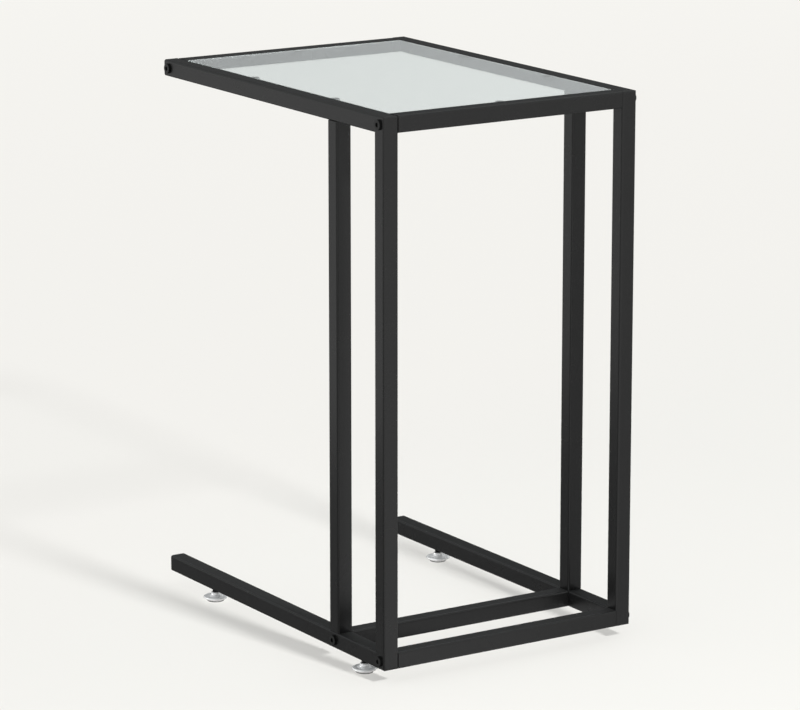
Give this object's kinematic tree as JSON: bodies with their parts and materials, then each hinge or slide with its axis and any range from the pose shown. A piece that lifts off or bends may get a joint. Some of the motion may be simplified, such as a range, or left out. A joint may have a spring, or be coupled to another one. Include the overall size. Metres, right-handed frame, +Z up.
{
  "type": "c shaped side table",
  "caption": "C shaped side table: welded square tube side frames joined by screwed crossbars, with an inset clear glass top and screw-adjusted moulded feet.",
  "frame": {"origin": "on the floor, under the middle of the table", "axes": "+Z up, +X across the table, +Y towards the open side of the C, the posts stand at -Y"},
  "size_m": [0.3598, 0.5, 0.6665],
  "materials": {
    "powder_coated_steel": "satin black powder coat",
    "clear_glass": "clear polished",
    "clear_plastic": "milky moulded",
    "clear_silicone": "clear matt",
    "black_screw": "black oxide",
    "black_steel": "black oxide",
    "plated_steel": "zinc plated"
  },
  "bodies": {
    "frame": {"bottom_front_crossbar": "powder_coated_steel", "bottom_front_left_screw": "black_screw", "bottom_front_left_thread_plate": "plated_steel", "bottom_front_right_screw": "black_screw", "bottom_front_right_thread_plate": "plated_steel", "bottom_inner_crossbar": "powder_coated_steel", "bottom_inner_left_screw": "black_screw", "bottom_inner_left_thread_plate": "plated_steel", "bottom_inner_right_screw": "black_screw", "bottom_inner_right_thread_plate": "plated_steel", "front_middle_glass_bumper": "clear_silicone", "front_middle_glass_tab": "powder_coated_steel", "glass_top": "clear_glass", "left_bottom_rail": "powder_coated_steel", "left_bottom_rail_end_plate": "powder_coated_steel", "left_front_foot_insert": "plated_steel", "left_front_glass_bumper": "clear_silicone", "left_front_glass_tab": "powder_coated_steel", "left_front_post": "powder_coated_steel", "left_inner_post": "powder_coated_steel", "left_rear_foot_insert": "plated_steel", "left_rear_glass_bumper": "clear_silicone", "left_rear_glass_tab": "powder_coated_steel", "left_top_rail": "powder_coated_steel", "left_top_rail_end_plate": "powder_coated_steel", "rear_middle_glass_bumper": "clear_silicone", "rear_middle_glass_tab": "powder_coated_steel", "right_bottom_rail": "powder_coated_steel", "right_bottom_rail_end_plate": "powder_coated_steel", "right_front_foot_insert": "plated_steel", "right_front_glass_bumper": "clear_silicone", "right_front_glass_tab": "powder_coated_steel", "right_front_post": "powder_coated_steel", "right_inner_post": "powder_coated_steel", "right_rear_foot_insert": "plated_steel", "right_rear_glass_bumper": "clear_silicone", "right_rear_glass_tab": "powder_coated_steel", "right_top_rail": "powder_coated_steel", "right_top_rail_end_plate": "powder_coated_steel", "top_front_crossbar": "powder_coated_steel", "top_front_left_screw": "black_screw", "top_front_left_thread_plate": "plated_steel", "top_front_right_screw": "black_screw", "top_front_right_thread_plate": "plated_steel", "top_rear_crossbar": "powder_coated_steel", "top_rear_left_screw": "black_screw", "top_rear_left_thread_plate": "plated_steel", "top_rear_right_screw": "black_screw", "top_rear_right_thread_plate": "plated_steel"},
    "left_front_foot": {"left_front_foot_base": "clear_plastic"},
    "left_front_stud": {"left_front_foot_stud": "black_steel"},
    "left_rear_foot": {"left_rear_foot_base": "clear_plastic"},
    "left_rear_stud": {"left_rear_foot_stud": "black_steel"},
    "right_front_foot": {"right_front_foot_base": "clear_plastic"},
    "right_front_stud": {"right_front_foot_stud": "black_steel"},
    "right_rear_foot": {"right_rear_foot_base": "clear_plastic"},
    "right_rear_stud": {"right_rear_foot_stud": "black_steel"}
  },
  "joints": [
    {"name": "left_front_foot_height", "type": "slide", "parent": "frame", "child": "left_front_foot", "axis": [0, 0, -1], "range_m": [-0.0045, 0.007]},
    {"name": "left_front_stud_turn", "type": "hinge", "parent": "left_front_foot", "child": "left_front_stud", "pos_m": [-0.165, -0.192, 0], "axis": [0, 0, -1], "range_deg": [-1296, 2016]},
    {"name": "left_rear_foot_height", "type": "slide", "parent": "frame", "child": "left_rear_foot", "axis": [0, 0, -1], "range_m": [-0.0045, 0.007]},
    {"name": "left_rear_stud_turn", "type": "hinge", "parent": "left_rear_foot", "child": "left_rear_stud", "pos_m": [-0.165, 0.1555, 0], "axis": [0, 0, -1], "range_deg": [-1296, 2016]},
    {"name": "right_front_foot_height", "type": "slide", "parent": "frame", "child": "right_front_foot", "axis": [0, 0, -1], "range_m": [-0.0045, 0.007]},
    {"name": "right_front_stud_turn", "type": "hinge", "parent": "right_front_foot", "child": "right_front_stud", "pos_m": [0.165, -0.192, 0], "axis": [0, 0, -1], "range_deg": [-1296, 2016]},
    {"name": "right_rear_foot_height", "type": "slide", "parent": "frame", "child": "right_rear_foot", "axis": [0, 0, -1], "range_m": [-0.0045, 0.007]},
    {"name": "right_rear_stud_turn", "type": "hinge", "parent": "right_rear_foot", "child": "right_rear_stud", "pos_m": [0.165, 0.1555, 0], "axis": [0, 0, -1], "range_deg": [-1296, 2016]}
  ],
  "couplings": [
    {"joint": "left_front_stud_turn", "follows": "left_front_foot_height", "rad_per_m": 5026.5},
    {"joint": "left_rear_stud_turn", "follows": "left_rear_foot_height", "rad_per_m": 5026.5},
    {"joint": "right_front_stud_turn", "follows": "right_front_foot_height", "rad_per_m": 5026.5},
    {"joint": "right_rear_stud_turn", "follows": "right_rear_foot_height", "rad_per_m": 5026.5}
  ]
}
